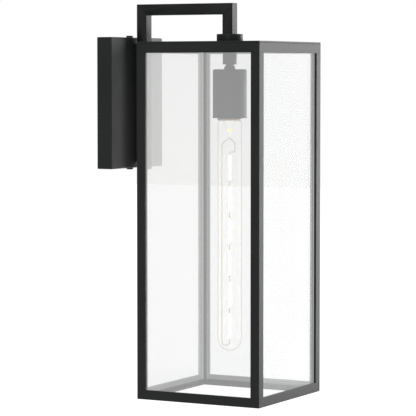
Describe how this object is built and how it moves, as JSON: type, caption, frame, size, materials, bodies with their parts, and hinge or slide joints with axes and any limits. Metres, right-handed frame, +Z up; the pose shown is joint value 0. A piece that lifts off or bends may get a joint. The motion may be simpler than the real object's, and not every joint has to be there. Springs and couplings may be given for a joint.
{
  "type": "outdoor wall lantern",
  "caption": "Square glazed wall lantern with an open base, hung from a square-bar arm on a rectangular wall canopy, with a long tubular filament lamp.",
  "frame": {"origin": "centre of the canopy on the wall plane, midway between the two junction-box screw holes", "axes": "+X to the right of someone facing the lantern, +Y into the wall, +Z up"},
  "size_m": [0.158, 0.2225, 0.457],
  "materials": {
    "charcoal_metal": "fine satin powder coat",
    "clear_glass": "clear float glass",
    "foam": "closed-cell foam",
    "zinc_steel": "bright zinc plate",
    "green_steel": "green dip",
    "porcelain": "white glaze",
    "brass": "bright",
    "lamp_cap_metal": "satin nickel on brass",
    "solder": "dull solder",
    "black_glass": "black vitrified glass",
    "lamp_glass": "clear thin glass",
    "support_wire": "drawn wire",
    "wire_nut_plastic": "moulded",
    "lead_black": "insulation",
    "lead_white": "insulation",
    "lead_green": "insulation",
    "black_plastic": "moulded",
    "filament": "phosphor-coated strip, lit"
  },
  "bodies": {
    "root": {"arm_backing_strip": "charcoal_metal", "arm_bar": "charcoal_metal", "arm_collar": "charcoal_metal", "arm_drop": "charcoal_metal", "arm_leg": "charcoal_metal", "arm_leg_plug": "black_plastic", "arm_nuts": "zinc_steel", "arm_screws": "zinc_steel", "bottom_beads": "charcoal_metal", "canopy": "charcoal_metal", "canopy_gasket": "foam", "canopy_screws": "charcoal_metal", "corner_beads": "charcoal_metal", "front_bottom_rail": "charcoal_metal", "front_left_post": "charcoal_metal", "front_pane": "clear_glass", "front_right_post": "charcoal_metal", "front_top_rail": "charcoal_metal", "ground_lead": "lead_green", "ground_screw": "green_steel", "hot_lead": "lead_black", "left_bottom_rail": "charcoal_metal", "left_pane": "clear_glass", "left_top_rail": "charcoal_metal", "neck_nut": "charcoal_metal", "neutral_lead": "lead_white", "rear_bottom_rail": "charcoal_metal", "rear_left_post": "charcoal_metal", "rear_pane": "clear_glass", "rear_right_post": "charcoal_metal", "rear_top_rail": "charcoal_metal", "right_bottom_rail": "charcoal_metal", "right_pane": "clear_glass", "right_top_rail": "charcoal_metal", "roof_plate": "charcoal_metal", "socket_body": "porcelain", "socket_bracket": "zinc_steel", "socket_centre_contact": "brass", "socket_cup": "charcoal_metal", "socket_screw_shell": "brass", "stem_hex_nut": "zinc_steel", "stem_sleeve": "charcoal_metal", "terminal_screws": "brass", "threaded_stem": "zinc_steel", "wall_crossbar": "zinc_steel", "wire_bushing": "black_plastic", "wire_nuts": "wire_nut_plastic"},
    "lamp_carrier": {"lamp_tip_contact": "solder"},
    "lamp": {"lamp_cap": "lamp_cap_metal", "lamp_insulator": "black_glass", "lamp_glass": "lamp_glass", "lamp_stem": "lamp_glass", "lamp_support_wires": "support_wire", "lamp_filaments": "filament"}
  },
  "joints": [
    {"name": "lamp_travel", "type": "slide", "parent": "root", "child": "lamp_carrier", "axis": [0, 0, -1], "range_m": [0, 0.0254]},
    {"name": "lamp_turn", "type": "hinge", "parent": "lamp_carrier", "child": "lamp", "pos_m": [0, -0.1435, 0], "axis": [0, 0, -1], "range_deg": [0, 2525]}
  ],
  "couplings": [
    {"joint": "lamp_turn", "follows": "lamp_travel", "rad_per_m": 1731.4}
  ]
}
